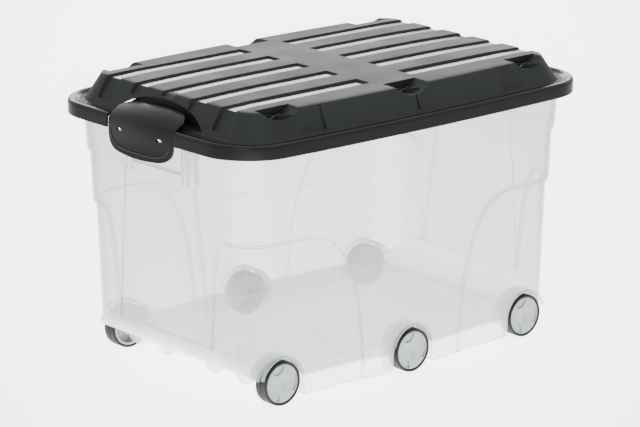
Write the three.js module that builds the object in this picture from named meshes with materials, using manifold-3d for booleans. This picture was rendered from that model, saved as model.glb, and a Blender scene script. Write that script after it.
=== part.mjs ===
// Roller storage box: a translucent tub on six wheels, closed by a ribbed lid with two hinged end clips.
// Millimetres, +Z up. The origin is on the floor under the middle of the box, and X runs along its length.
import * as THREE from "three";
import { mergeVertices } from "three/addons/utils/BufferGeometryUtils.js";
import Module from "manifold-3d";

const wasm = await Module();
wasm.setup();

// ---------- driving dimensions ----------
const GAP = 0.3; // clearance kept between neighbouring pieces
const FAR = 420; // reach of a cutter that goes right through the box

const LONG_BOW = 9.4; // how far the middle of a long side stands out from its ends
const SHORT_BOW = 2; // the same for a short side

// Each outline is half the length, half the width and the corner radius, before the bow.
const WALL_LOW = { z: 47, x: 263, y: 162.5, r: 42 };
const WALL_HIGH = { z: 275, x: 269.5, y: 166.7, r: 40 };
const BAND_LOW = { z: 275, x: 272, y: 169.2, r: 40 };
const BAND_HIGH = { z: 334, x: 275.5, y: 172.5, r: 42 };
const FLANGE = { z: 336.4, x: 291, y: 186, r: 62, lip: 2.2, lipZ: 328 };
const TUB_WALL = 2.2;
const SKIRT_Z = 8; // lower edge of the skirts between the wheels
const FLOOR = { z: 31, thickness: 2.4, endRadius: 36, endX: 224.5 };

const CORNER_RECESS = 3.4; // how far each corner of the tub is set back under its arch
const ARCH = { lowX: 83, topX: 172, topZ: 208, lowY: 91, topY: 111 };
const END_PANEL = { depth: 1.6, topY: 74, neckY: 67, lowY: 89, topZ: 323, neckZ: 266 };

const WHEEL = { r: 28.25, width: 20, x: 208.6, cornerY: 162.3, middleY: 171.6 };
const TYRE = { thickness: 3.4, sideStep: 1.2, edge: 1.2 };
const HUB = { web: 5, rim: 2.2, boss: 6.4, windowR: 10.5, windowOffset: 24 };
const AXLE = { r: 3, grip: 4, collar: 2.4, collarEnd: 6 };
const WELL = { clearance: 4.75, wall: 2, behind: 3, lowZ: 21, skirtY: 154 };
const FOOT = { r: 21, centreZ: 38.5, thickness: 3, x: 224, rows: [47, 108] };

const RIM = { x: 297.5, y: 192, r: 67, lowZ: 324.8, topZ: 342.5, edge: 5, skirt: 2.6 };
const CHANNEL = { x: 283, y: 179.5, r: 56, z: 339.6 };
const PLATEAU_BASE = { x: 270, y: 171, r: 36, z: 339.6 };
const PLATEAU_TOP = { x: 250, y: 157, r: 28, z: 375 };
const LID_WALL = 2.6;
const GROOVE = { width: 26, pitch: 56.5, depth: 2.4, startX: 34 };
const GROOVE_LOW_Z = [367, 360.5, 347]; // foot of the middle groove, the next ones and the outer ones
const POCKET = { r: 36, lowZ: 361, backY: 141 };
const SLOPE_BREAK = { depth: 1.8, width: 5 };

const BAY = { halfWidth: 85, z: 341.2, topZ: 364.5, backX: 254, frontX: 275 }; // arched hollow for one clip
const NOTCH = { x: 286.5, halfWidth: 66 }; // gap in the lid's rim that the clip hangs through
const CLIP = {
  halfWidth: 63.5,
  lowZ: 298,
  sideZ: 322,
  backX: 256.5,
  backCurve: 24,
  arch: 5,
  bulge: 4.4,
  hingeX: 261.5,
  hingeZ: 350,
};
const BARREL = { r: 3.9, halfLength: 30, pinR: 1.6, lugWidth: 5, lugR: 4.2 };
const CLIP_SLOT = { y: 39.5, z: 327.3, halfLength: 5, halfHeight: 2.1 };

// ---------- materials ----------
const clearPlastic = new THREE.MeshStandardMaterial({
  color: "#e4e8ea",
  roughness: 0.35,
  metalness: 0,
  transparent: true,
  opacity: 0.45,
});
const lidPlastic = new THREE.MeshStandardMaterial({ color: "#34393c", roughness: 0.38, metalness: 0 });
const clipPlastic = new THREE.MeshStandardMaterial({ color: "#25292b", roughness: 0.3, metalness: 0 });
const tyrePlastic = new THREE.MeshStandardMaterial({ color: "#121314", roughness: 0.6, metalness: 0 });
const hubPlastic = new THREE.MeshStandardMaterial({ color: "#b9bfc1", roughness: 0.4, metalness: 0 });
const pinPlastic = new THREE.MeshStandardMaterial({ color: "#8d9394", roughness: 0.45, metalness: 0 });

// ---------- solids and geometries ----------
function toSolid(geometry) {
  const bare = geometry.clone();
  bare.deleteAttribute("normal");
  bare.deleteAttribute("uv");
  const merged = mergeVertices(bare, 1e-4);
  return new wasm.Manifold(
    new wasm.Mesh({
      numProp: 3,
      vertProperties: new Float32Array(merged.attributes.position.array),
      triVerts: new Uint32Array(merged.index.array),
    }),
  );
}

function toMesh(name, solid, material) {
  const made = solid.getMesh();
  const geometry = new THREE.BufferGeometry();
  geometry.setAttribute("position", new THREE.BufferAttribute(made.vertProperties, 3));
  geometry.setIndex(new THREE.BufferAttribute(made.triVerts, 1));
  geometry.computeVertexNormals();
  const mesh = new THREE.Mesh(geometry, material);
  mesh.name = name;
  return mesh;
}

const CORNER_STEPS = 5;
const LONG_STEPS = 8;
const SHORT_STEPS = 4;

// One closed ring of points at height z: a rounded rectangle whose sides bow outwards.
function ring(outline, z = outline.z, grow = 0) {
  const x = outline.x + grow;
  const y = outline.y + grow;
  const r = Math.max(outline.r + grow, 2);
  const points = [];
  for (let quarter = 0; quarter < 4; quarter++) {
    const sx = quarter === 0 || quarter === 3 ? 1 : -1;
    const sy = quarter < 2 ? 1 : -1;
    for (let i = 0; i <= CORNER_STEPS; i++) {
      const a = ((quarter + i / CORNER_STEPS) * Math.PI) / 2;
      points.push([sx * (x - r) + r * Math.cos(a), sy * (y - r) + r * Math.sin(a)]);
    }
    const alongLong = quarter % 2 === 0;
    const steps = alongLong ? LONG_STEPS : SHORT_STEPS;
    const from = points[points.length - 1];
    const to = alongLong ? [-sx * (x - r), sy * y] : [sx * x, -sy * (y - r)];
    for (let i = 1; i < steps; i++) {
      const t = i / steps;
      points.push([from[0] + (to[0] - from[0]) * t, from[1] + (to[1] - from[1]) * t]);
    }
  }
  return points.map(([px, py]) => {
    const nearLong = Math.min(1, Math.abs(py) / (y - r / 2));
    const nearShort = Math.min(1, Math.abs(px) / (x - r / 2));
    const bowedX = px + Math.sign(px) * SHORT_BOW * (1 - (py / y) ** 2) * nearShort;
    const bowedY = py + Math.sign(py) * LONG_BOW * (1 - (px / x) ** 2) * nearLong;
    return [bowedX, bowedY, z];
  });
}

// A closed solid through a list of rings, capped at the first and the last one.
function loft(rings) {
  const n = rings[0].length;
  const positions = rings.flat(2);
  const index = [];
  for (let k = 0; k + 1 < rings.length; k++) {
    for (let i = 0; i < n; i++) {
      const j = (i + 1) % n;
      const a = k * n + i;
      const b = k * n + j;
      index.push(a, b, b + n, a, b + n, a + n);
    }
  }
  const bottom = positions.length / 3;
  positions.push(0, 0, rings[0][0][2]);
  positions.push(0, 0, rings[rings.length - 1][0][2]);
  const last = (rings.length - 1) * n;
  for (let i = 0; i < n; i++) {
    const j = (i + 1) % n;
    index.push(bottom, j, i);
    index.push(bottom + 1, last + i, last + j);
  }
  const geometry = new THREE.BufferGeometry();
  geometry.setAttribute("position", new THREE.BufferAttribute(new Float32Array(positions), 3));
  geometry.setIndex(index);
  return toSolid(geometry);
}

function extrude(shape, depth) {
  return new THREE.ExtrudeGeometry(shape, { depth, bevelEnabled: false, curveSegments: 6 });
}

// A shape drawn as (x, z), swept from one y to another.
function alongY(shape, from, to) {
  return toSolid(extrude(shape, to - from).rotateX(Math.PI / 2).translate(0, to, 0));
}

// A shape drawn as (y, z), swept from one x to another.
function alongX(shape, from, to) {
  const geometry = extrude(shape, to - from).rotateX(Math.PI / 2).rotateZ(Math.PI / 2);
  return toSolid(geometry.translate(from, 0, 0));
}

// A shape drawn as (x, y), swept from one z to another.
function alongZ(shape, from, to) {
  return toSolid(extrude(shape, to - from).translate(0, 0, from));
}

function box(x0, x1, y0, y1, z0, z1) {
  const geometry = new THREE.BoxGeometry(x1 - x0, y1 - y0, z1 - z0);
  return toSolid(geometry.translate((x0 + x1) / 2, (y0 + y1) / 2, (z0 + z1) / 2));
}

function polygon(points) {
  return new THREE.Shape(points.map(([a, b]) => new THREE.Vector2(a, b)));
}

// A round bar along Y.
function barY(x, z, r, from, to, sides = 24) {
  const geometry = new THREE.CylinderGeometry(r, r, to - from, sides);
  return toSolid(geometry.translate(x, (from + to) / 2, z));
}

function unite(solids) {
  return solids.reduce((sum, solid) => sum.add(solid));
}

const SIDES = [-1, 1];

// ---------- tub ----------
// The main wall tapers evenly, so its outline at any height lies on the line between two of them.
function wallAt(z) {
  const t = (z - WALL_LOW.z) / (WALL_HIGH.z - WALL_LOW.z);
  return {
    z,
    x: WALL_LOW.x + (WALL_HIGH.x - WALL_LOW.x) * t,
    y: WALL_LOW.y + (WALL_HIGH.y - WALL_LOW.y) * t,
    r: WALL_LOW.r,
  };
}

// The tapered wall from one height to another, moved in or out by grow.
function wallBody(grow, from = -20, to = 420) {
  return loft([ring(wallAt(from), from, grow), ring(wallAt(to), to, grow)]);
}

// The arched windows of one corner, seen from the long side and from the end.
function cornerZone(sx, sy, grow) {
  const archTop = ARCH.topZ + grow;
  const long = new THREE.Shape();
  long.moveTo(sx * (ARCH.lowX - grow), -20);
  long.lineTo(sx * (ARCH.lowX + 1 - grow), 45);
  long.bezierCurveTo(
    sx * (ARCH.lowX + 8 - grow),
    135,
    sx * (ARCH.topX - 60 - grow),
    archTop,
    sx * (ARCH.topX - grow),
    archTop,
  );
  long.lineTo(sx * FAR, archTop);
  long.lineTo(sx * FAR, -20);
  const end = new THREE.Shape();
  end.moveTo(sy * (ARCH.lowY - grow), -20);
  end.lineTo(sy * (ARCH.lowY + 3 - grow), 90);
  end.lineTo(sy * (ARCH.topY - 3 - grow), archTop - 18);
  end.quadraticCurveTo(sy * (ARCH.topY - grow), archTop, sy * (ARCH.topY + 15 - grow), archTop);
  end.lineTo(sy * FAR, archTop);
  end.lineTo(sy * FAR, -20);
  const fromY = sy > 0 ? 1 : -FAR;
  const fromX = sx > 0 ? 1 : -FAR;
  return alongY(long, fromY, fromY + FAR - 1).intersect(alongX(end, fromX, fromX + FAR - 1));
}

// The middle of one end wall, set back from the band above and widening downwards.
function endPanelZone(sx, grow) {
  const half = [
    [END_PANEL.topY + grow, END_PANEL.topZ + grow],
    [END_PANEL.topY + grow, END_PANEL.neckZ + 6],
    [END_PANEL.neckY + grow, END_PANEL.neckZ],
    [END_PANEL.lowY + grow, 70],
    [END_PANEL.lowY + grow, -20],
  ];
  const mirrored = half.map(([y, z]) => [-y, z]).reverse();
  const from = sx > 0 ? 200 : -FAR;
  return alongX(polygon([...half, ...mirrored]), from, from + FAR - 200);
}

// Takes the set-back corners and end panels out of a body that follows the tub's wall at offset inset.
function setBack(body, inset) {
  const corners = SIDES.flatMap((sx) => SIDES.map((sy) => cornerZone(sx, sy, inset)));
  const panels = SIDES.map((sx) => endPanelZone(sx, inset));
  const cornerSteps = unite(corners).subtract(wallBody(-CORNER_RECESS - inset));
  const panelSteps = unite(panels).subtract(wallBody(-END_PANEL.depth - inset));
  return body.subtract(cornerSteps).subtract(panelSteps);
}

function archShape(x, halfWidth, lowZ) {
  const shape = new THREE.Shape();
  shape.moveTo(x - halfWidth, lowZ);
  shape.lineTo(x + halfWidth, lowZ);
  shape.lineTo(x + halfWidth, WHEEL.r);
  shape.absarc(x, WHEEL.r, halfWidth, 0, Math.PI, false);
  return shape;
}

const wheelPlaces = SIDES.flatMap((sy) =>
  [-1, 0, 1].map((sx) => ({
    x: sx * WHEEL.x,
    side: sy,
    outerY: sx === 0 ? WHEEL.middleY : WHEEL.cornerY,
    name: `${sy < 0 ? "front" : "rear"}_${["left", "middle", "right"][sx + 1]}`,
  })),
);

// The space behind one wheel, or with grow its housing: an arch swept in from the side wall.
function wellBody(place, grow) {
  const backY = place.outerY - WHEEL.width - WELL.behind - grow;
  const shape = archShape(place.x, WHEEL.r + WELL.clearance + grow, -30);
  return place.side > 0 ? alongY(shape, backY, 240) : alongY(shape, -240, -backY);
}

// The rounded lower edge of one end wall, as the cutter outside it and the filling inside it.
function endEdge(sx) {
  const { endX, endRadius, z, thickness } = FLOOR;
  const centreZ = z + endRadius;
  const innerR = endRadius - TUB_WALL;
  const outside = [[endX - 4, -30], [endX - 4, z]];
  const inside = [[endX - 4, z - 4], [endX + 60, z - 4], [endX + 60, centreZ]];
  for (let i = 0; i <= 6; i++) {
    const a = (i / 6) * (Math.PI / 2);
    outside.push([endX + endRadius * Math.sin(a), centreZ - endRadius * Math.cos(a)]);
    inside.push([endX + innerR * Math.cos(a), centreZ - innerR * Math.sin(a)]);
  }
  outside.push([endX + 60, centreZ], [endX + 60, -30]);
  inside.push([endX - 4, z + thickness]);
  const flip = (points) => polygon(points.map(([x, height]) => [sx * x, height]));
  return { outside: alongY(flip(outside), -240, 240), inside: alongY(flip(inside), -240, 240) };
}

function footPlates() {
  const plates = [];
  for (const sx of SIDES) {
    for (const row of FOOT.rows.flatMap((y) => [-y, y])) {
      const shape = new THREE.Shape();
      const lift = Math.asin((FOOT.centreZ - FLOOR.z - 1) / FOOT.r);
      shape.absarc(row, FOOT.centreZ, FOOT.r, Math.PI + lift, 2 * Math.PI - lift, false);
      const from = sx * FOOT.x - FOOT.thickness / 2;
      plates.push(alongX(shape, from, from + FOOT.thickness));
    }
  }
  return plates;
}

// Upright ribs and a cross rib under the rim, either side of each clip.
function endRibs() {
  const ribs = [];
  const panelX = wallAt(300).x - END_PANEL.depth;
  for (const sx of SIDES) {
    const x0 = sx > 0 ? panelX - 1 : -panelX - 5;
    for (const y of [-61, -50, 50, 61]) {
      ribs.push(box(x0, x0 + 6, y - 1.2, y + 1.2, 270, FLANGE.z - 1));
    }
    ribs.push(box(x0, x0 + 6, -50, 50, 280.5, 282.5));
  }
  return ribs;
}

function tubSolid() {
  const { lip, lipZ, z: flangeZ } = FLANGE;
  const underZ = BAND_HIGH.z;
  const shell = loft([
    ring(wallAt(SKIRT_Z)),
    ring(WALL_HIGH),
    ring(BAND_LOW),
    ring(BAND_HIGH),
    ring(FLANGE, underZ, -lip),
    ring(FLANGE, lipZ, -lip),
    ring(FLANGE, lipZ),
    ring(FLANGE, flangeZ),
  ]);
  const inner = loft([
    ring(wallAt(-5), -5, -TUB_WALL),
    ring(WALL_HIGH, WALL_HIGH.z + 2, -TUB_WALL),
    ring(BAND_LOW, BAND_LOW.z + 4, -TUB_WALL),
    ring(BAND_HIGH, flangeZ + 5, -TUB_WALL),
  ]);
  const edges = SIDES.map(endEdge);
  const floor = box(-FAR, FAR, -FAR, FAR, FLOOR.z, FLOOR.z + FLOOR.thickness);
  const housings = wheelPlaces.map((place) => wellBody(place, WELL.wall));
  const bosses = wheelPlaces.map(axleBoss);
  const hollow = setBack(inner, TUB_WALL)
    .subtract(floor)
    .subtract(unite(edges.map((edge) => edge.inside)))
    .subtract(unite(housings));
  const wells = unite(wheelPlaces.map((place) => wellBody(place, 0)));
  const underHousings = box(-FAR, FAR, -WELL.skirtY, WELL.skirtY, -30, WELL.lowZ);
  return setBack(shell, 0)
    .subtract(hollow)
    .subtract(unite(edges.map((edge) => edge.outside)))
    .subtract(wells)
    .subtract(underHousings)
    .add(unite(footPlates()))
    .add(unite(bosses))
    .add(unite(endRibs()))
    .subtract(unite(wheelPlaces.map(axleHole)));
}

// ---------- wheels ----------
// y measured from the wheel's outer face towards the middle of the box, as a place on the world's Y axis.
function wheelY(place, depth) {
  return place.side * (place.outerY - depth);
}

function barBetween(place, r, depthA, depthB, sides) {
  const ends = [wheelY(place, depthA), wheelY(place, depthB)].sort((a, b) => a - b);
  return barY(place.x, WHEEL.r, r, ends[0], ends[1], sides);
}

const wellDepth = WHEEL.width + WELL.behind;

// A short blind collar behind the well, which holds the axle.
function axleBoss(place) {
  const end = wellDepth + WELL.wall + AXLE.collarEnd;
  return barBetween(place, AXLE.r + AXLE.collar, wellDepth - 2, end, 14);
}

function axleHole(place) {
  return barBetween(place, AXLE.r + GAP, wellDepth - 4, wellDepth + WELL.wall + AXLE.grip + GAP, 14);
}

// The axle: a round stub held in the tub's collar, running into the hub from behind.
function axleSolid(place) {
  return barBetween(place, AXLE.r, HUB.web + 1.5, wellDepth + WELL.wall + AXLE.grip, 14);
}

// A ring turned about the wheel's axis from (radius, depth) points, closed on itself.
function turned(place, points, sides) {
  const loop = [...points, points[0]].map(([r, depth]) => new THREE.Vector2(r, depth));
  const geometry = new THREE.LatheGeometry(loop, sides);
  if (place.side > 0) geometry.rotateX(Math.PI);
  const made = geometry.translate(place.x, wheelY(place, 0), WHEEL.r);
  return toSolid(made);
}

function tyreSolid(place) {
  const { r, width } = WHEEL;
  const { thickness, sideStep, edge } = TYRE;
  const inner = r - thickness;
  const points = [
    [inner, 0.6],
    [r - sideStep, 0],
    [r, edge],
    [r, width - edge],
    [r - sideStep, width],
    [inner, width - 0.6],
  ];
  return turned(place, points, 36);
}

function hubSolid(place) {
  const outer = WHEEL.r - TYRE.thickness - GAP;
  const inner = outer - HUB.rim;
  const bore = AXLE.r + GAP;
  const points = [
    [0, 0.9],
    [2.4, 1.6],
    [4, 0.9],
    [outer, 0.9],
    [outer, WHEEL.width - 1],
    [inner, WHEEL.width - 1],
    [inner, HUB.web],
    [HUB.boss, HUB.web],
    [HUB.boss, WHEEL.width],
    [bore, WHEEL.width],
    [bore, HUB.web + 1],
    [0, HUB.web + 1],
  ].map(([r, depth]) => new THREE.Vector2(r, depth));
  const geometry = new THREE.LatheGeometry(points, 24);
  if (place.side > 0) geometry.rotateX(Math.PI);
  const body = toSolid(geometry.translate(place.x, wheelY(place, 0), WHEEL.r));
  return body.subtract(unite([0, 1, 2].map((k) => hubWindow(place, k, outer - 1.6))));
}

// One of the three lens-shaped hollows in the hub's face: where a circle about an outer point meets the disc.
function hubWindow(place, k, discR) {
  const a = Math.PI / 2 + 0.35 + (k * 2 * Math.PI) / 3;
  const x = place.x + HUB.windowOffset * Math.cos(a);
  const z = WHEEL.r + HUB.windowOffset * Math.sin(a);
  const ends = [wheelY(place, -1), wheelY(place, 2.6)].sort((p, q) => p - q);
  const disc = barY(place.x, WHEEL.r, discR, ends[0], ends[1], 24);
  return barY(x, z, HUB.windowR, ends[0], ends[1], 16).intersect(disc);
}

// ---------- lid ----------
function slopeX(z) {
  const t = (z - PLATEAU_BASE.z) / (PLATEAU_TOP.z - PLATEAU_BASE.z);
  return PLATEAU_BASE.x + (PLATEAU_TOP.x - PLATEAU_BASE.x) * t;
}

// One groove of the deck and the panel that carries it down the end slope; grow turns it into its underside.
function grooveCut(sx, y, grow) {
  const { startX, depth, pitch, width } = GROOVE;
  const topZ = PLATEAU_TOP.z;
  const floorZ = topZ - depth - grow;
  const low = GROOVE_LOW_Z[Math.round(Math.abs(y) / pitch)] - grow;
  const inset = depth + grow;
  const shape = polygon(
    [
      [startX - grow, topZ + 10],
      [startX + 3 - grow, floorZ],
      [slopeX(topZ) - 0.4 * inset, floorZ],
      [slopeX(low) - inset * 0.9, low],
      [slopeX(low) + 20, low],
      [slopeX(low) + 20, topZ + 10],
    ].map(([x, z]) => [sx * x, z]),
  );
  const half = width / 2 + grow;
  return alongY(shape, y - half, y + half);
}

// The seat for one wheel of a box stacked on top: a round hollow in the edge of the deck.
function pocketCut(place, grow) {
  const r = POCKET.r + grow;
  const backY = POCKET.backY - grow;
  const z = POCKET.lowZ + POCKET.r;
  return place.side > 0
    ? barY(place.x, z, r, backY, 240, 32)
    : barY(place.x, z, r, -240, -backY, 32);
}

// The arched hollow in the lid's end slope that one clip lies in.
function bayCut(sx, grow) {
  const low = BAY.z - grow;
  const top = BAY.topZ + grow;
  const half = BAY.halfWidth + grow;
  const arch = new THREE.Shape();
  arch.moveTo(-half, low);
  arch.bezierCurveTo(13 - half, low + 12, -48, top, 0, top);
  arch.bezierCurveTo(48, top, half - 13, low + 12, half, low);
  const from = sx > 0 ? BAY.backX - grow : -BAY.frontX;
  return alongX(arch, from, from + BAY.frontX - BAY.backX + grow);
}

// Shallow upright breaks in the long slopes, beside and below the wheel seats.
function slopeBreaks() {
  const cuts = [];
  for (const sy of SIDES) {
    for (const x of [-150, 0, 150]) {
      const shape = polygon([
        [x - SLOPE_BREAK.width / 2, PLATEAU_BASE.z + 4],
        [x + SLOPE_BREAK.width / 2, PLATEAU_BASE.z + 4],
        [x + SLOPE_BREAK.width / 2, PLATEAU_TOP.z + 5],
        [x - SLOPE_BREAK.width / 2, PLATEAU_TOP.z + 5],
      ]);
      const outer = sy > 0 ? alongY(shape, 120, 220) : alongY(shape, -220, -120);
      const { z: baseZ } = PLATEAU_BASE;
      const core = loft([
        ring(PLATEAU_BASE, baseZ, -SLOPE_BREAK.depth),
        ring(PLATEAU_TOP, PLATEAU_TOP.z + 0.01, -SLOPE_BREAK.depth),
        ring(PLATEAU_TOP, PLATEAU_TOP.z + 20, -SLOPE_BREAK.depth),
      ]);
      cuts.push(outer.subtract(core));
    }
  }
  return cuts;
}

const grooveRows = [-2, -1, 0, 1, 2].map((k) => k * GROOVE.pitch);

function lidCuts(grow) {
  const grooves = SIDES.flatMap((sx) => grooveRows.map((y) => grooveCut(sx, y, grow)));
  const pockets = wheelPlaces.map((place) => pocketCut(place, grow));
  const bays = SIDES.map((sx) => bayCut(sx, grow));
  return unite([...grooves, ...pockets, ...bays]);
}

// The stretch of rim left out where a clip hangs down.
function rimNotch(sx) {
  const { x, halfWidth } = NOTCH;
  const from = sx > 0 ? x : -x - 20;
  return box(from, from + 20, -halfWidth, halfWidth, RIM.lowZ - 5, RIM.topZ + 5);
}

function hingeLug(sx, sy) {
  const { hingeX, hingeZ } = CLIP;
  const inner = BARREL.halfLength + GAP + 0.4;
  const shape = new THREE.Shape();
  shape.moveTo(sx * (hingeX - BARREL.lugR), BAY.z - 1);
  shape.lineTo(sx * (hingeX + BARREL.lugR), BAY.z - 1);
  shape.lineTo(sx * (hingeX + BARREL.lugR), hingeZ);
  shape.absarc(sx * hingeX, hingeZ, BARREL.lugR, sx > 0 ? 0 : Math.PI, sx > 0 ? Math.PI : 0, sx < 0);
  const from = sy > 0 ? inner : -inner - BARREL.lugWidth;
  return alongY(shape, from, from + BARREL.lugWidth);
}

function lidSolid() {
  const { x, y, r, lowZ, topZ, edge, skirt } = RIM;
  const rim = { x, y, r };
  const outer = loft([
    ring(rim, lowZ),
    ring(rim, topZ - edge),
    ring(rim, topZ - edge * 0.5, -edge * 0.13),
    ring(rim, topZ - edge * 0.13, -edge * 0.5),
    ring(rim, topZ, -edge),
    ring(rim, topZ, -edge - 4.5),
    ring(CHANNEL),
    ring(PLATEAU_BASE),
    ring(PLATEAU_TOP),
  ]);
  const inner = loft([
    ring(rim, lowZ - 5, -skirt),
    ring(rim, topZ - edge, -skirt),
    ring(rim, topZ - LID_WALL, -edge - 0.5),
    ring(rim, topZ - LID_WALL, -edge - 4),
    ring(CHANNEL, CHANNEL.z - LID_WALL, 1),
    ring(PLATEAU_BASE, PLATEAU_BASE.z - LID_WALL, -1),
    ring(PLATEAU_TOP, PLATEAU_TOP.z - LID_WALL, -LID_WALL),
  ]);
  const underside = inner.subtract(lidCuts(LID_WALL));
  const lugs = unite(SIDES.flatMap((sx) => SIDES.map((sy) => hingeLug(sx, sy))));
  const pinHoles = unite(
    SIDES.map((sx) => barY(sx * CLIP.hingeX, CLIP.hingeZ, BARREL.pinR + GAP, -50, 50, 20)),
  );
  return outer
    .subtract(lidCuts(0))
    .subtract(unite(slopeBreaks()))
    .subtract(underside)
    .subtract(unite(SIDES.map(rimNotch)))
    .add(lugs)
    .subtract(pinHoles);
}

// ---------- clips ----------
// The clip's section from its hinge, over the rim and down to the finger lip, as (distance from middle, z).
const clipOuter = [
  [256.5, 354],
  [259, 356.2],
  [263, 357.9],
  [268, 358.4],
  [274, 357.5],
  [281, 355],
  [288, 351],
  [293, 346.4],
  [296, 341],
  [297.4, 334],
  [297.8, 326],
  [298, 312],
  [299.6, 302],
  [301.4, 297],
];
const clipInner = [
  [299, 296.4],
  [296.8, 302],
  [295.2, 312],
  [295, 326],
  [294.6, 333.4],
  [293.4, 339.4],
  [291, 343.6],
  [286.6, 347.8],
  [280, 351.6],
  [273.4, 354],
  [268, 354.8],
  [263.4, 354.4],
  [260, 352.8],
  [256.5, 350.6],
];

// The section swept along the clip's width: it bulges outwards and arches upwards in the middle.
function clipBlank(sx) {
  const half = CLIP.halfWidth + 4;
  const section = polygon([...clipOuter, ...clipInner].map(([x, z]) => [sx * x, z]));
  const geometry = new THREE.ExtrudeGeometry(section, {
    depth: 2 * half,
    steps: 12,
    bevelEnabled: false,
  });
  geometry.rotateX(Math.PI / 2).translate(0, half, 0);
  const places = geometry.attributes.position;
  for (let i = 0; i < places.count; i++) {
    const x = places.getX(i);
    const z = places.getZ(i);
    const across = places.getY(i) / half;
    const outwards = Math.min(1, Math.max(0, (Math.abs(x) - 262) / (296 - 262)));
    const upwards = Math.min(1, Math.max(0, (z - 330) / (350 - 330)));
    places.setX(i, x + sx * CLIP.bulge * outwards * (1 - across ** 2));
    places.setZ(i, z - CLIP.arch * upwards * across ** 2);
  }
  return toSolid(geometry);
}

// The clip seen from above: square at the outer end, rounded back towards the deck.
function clipPlan(sx) {
  const plan = new THREE.Shape();
  const { halfWidth, backX, backCurve } = CLIP;
  const steps = 16;
  plan.moveTo(sx * 330, -halfWidth);
  for (let i = 0; i <= steps; i++) {
    const y = -halfWidth + (2 * halfWidth * i) / steps;
    plan.lineTo(sx * (backX + backCurve * Math.abs(y / halfWidth) ** 3), y);
  }
  plan.lineTo(sx * 330, halfWidth);
  return alongZ(plan, 280, 380);
}

// The clip seen from the end: straight sides, wide lower corners and a slightly sagging lip.
function clipFront(sx) {
  const { halfWidth, lowZ, sideZ } = CLIP;
  const bendY = 0.63 * halfWidth;
  const front = new THREE.Shape();
  front.moveTo(-halfWidth, 380);
  front.lineTo(-halfWidth, sideZ);
  front.quadraticCurveTo(-halfWidth, lowZ + 5, -bendY, lowZ + 2);
  front.quadraticCurveTo(0, lowZ - 2, bendY, lowZ + 2);
  front.quadraticCurveTo(halfWidth, lowZ + 5, halfWidth, sideZ);
  front.lineTo(halfWidth, 380);
  const from = sx > 0 ? 230 : -330;
  return alongX(front, from, from + 100);
}

function clipSlot(sx, sy) {
  const { y, z, halfLength, halfHeight } = CLIP_SLOT;
  const slot = new THREE.Shape();
  slot.absellipse(sy * y, z, halfLength, halfHeight, 0, 2 * Math.PI, false, 0);
  const from = sx > 0 ? 290 : -306;
  return alongX(slot, from, from + 16);
}

function clipSolid(sx) {
  const { hingeX, hingeZ } = CLIP;
  const lugReach = BARREL.halfLength + BARREL.lugWidth + 2 * GAP + 1;
  const lugRooms = SIDES.map((sy) => {
    const from = sy > 0 ? BARREL.halfLength : -lugReach;
    const to = from + lugReach - BARREL.halfLength;
    return barY(sx * hingeX, hingeZ, BARREL.lugR + 0.8, from, to, 24);
  });
  return clipBlank(sx)
    .intersect(clipPlan(sx))
    .intersect(clipFront(sx))
    .subtract(unite(lugRooms))
    .add(barY(sx * hingeX, hingeZ, BARREL.r, -BARREL.halfLength, BARREL.halfLength, 24))
    .subtract(barY(sx * hingeX, hingeZ, BARREL.pinR + GAP, -50, 50, 20))
    .subtract(unite(SIDES.map((sy) => clipSlot(sx, sy))));
}

function clipPinSolid(sx) {
  const reach = BARREL.halfLength + BARREL.lugWidth;
  return barY(sx * CLIP.hingeX, CLIP.hingeZ, BARREL.pinR, -reach, reach, 16);
}

// ---------- the assembly ----------
const storageBox = new THREE.Group();

const tub = new THREE.Group();
tub.add(toMesh("tub", tubSolid(), clearPlastic));
storageBox.add(tub);

for (const place of wheelPlaces) {
  const wheel = new THREE.Group();
  wheel.add(toMesh(`tyre_${place.name}`, tyreSolid(place), tyrePlastic));
  wheel.add(toMesh(`hub_${place.name}`, hubSolid(place), hubPlastic));
  tub.add(toMesh(`axle_${place.name}`, axleSolid(place), pinPlastic));
  tub.add(wheel);
}

const lid = new THREE.Group();
lid.add(toMesh("lid", lidSolid(), lidPlastic));
for (const sx of SIDES) {
  const end = sx < 0 ? "left" : "right";
  lid.add(toMesh(`clip_pin_${end}`, clipPinSolid(sx), clipPlastic));
  lid.add(toMesh(`clip_${end}`, clipSolid(sx), clipPlastic));
}
storageBox.add(lid);

export default storageBox;
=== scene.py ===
# %% [markdown]
# # A wheeled storage box, built up in cells
# The real thing is a see-through polypropylene tub on six small wheels, closed by a dark ribbed lid with a
# clip at each end. The measured model is already packed, so this script starts by loading it as a fixed
# frame. Everything made later is placed from that frame, which keeps the detailed look and the measured
# model together.

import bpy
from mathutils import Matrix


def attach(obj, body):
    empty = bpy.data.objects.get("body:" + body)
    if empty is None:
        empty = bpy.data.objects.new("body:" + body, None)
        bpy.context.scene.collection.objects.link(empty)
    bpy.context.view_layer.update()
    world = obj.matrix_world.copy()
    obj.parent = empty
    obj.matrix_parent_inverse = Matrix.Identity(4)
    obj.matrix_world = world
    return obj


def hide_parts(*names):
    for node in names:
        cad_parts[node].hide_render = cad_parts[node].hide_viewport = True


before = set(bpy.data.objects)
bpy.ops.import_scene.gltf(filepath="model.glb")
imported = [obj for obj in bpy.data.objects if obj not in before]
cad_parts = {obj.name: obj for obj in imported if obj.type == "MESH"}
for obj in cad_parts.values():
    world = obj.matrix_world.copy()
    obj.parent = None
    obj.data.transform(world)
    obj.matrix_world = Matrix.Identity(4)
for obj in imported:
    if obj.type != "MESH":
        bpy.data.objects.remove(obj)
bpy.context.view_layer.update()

# %% Tools of the trade
import math
import bmesh
import bpy
from mathutils import Vector

MM = 0.001
WHEELS = [f"{row}_{place}" for row in ("front", "rear") for place in ("left", "middle", "right")]
SIDES = (-1, 1)

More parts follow.
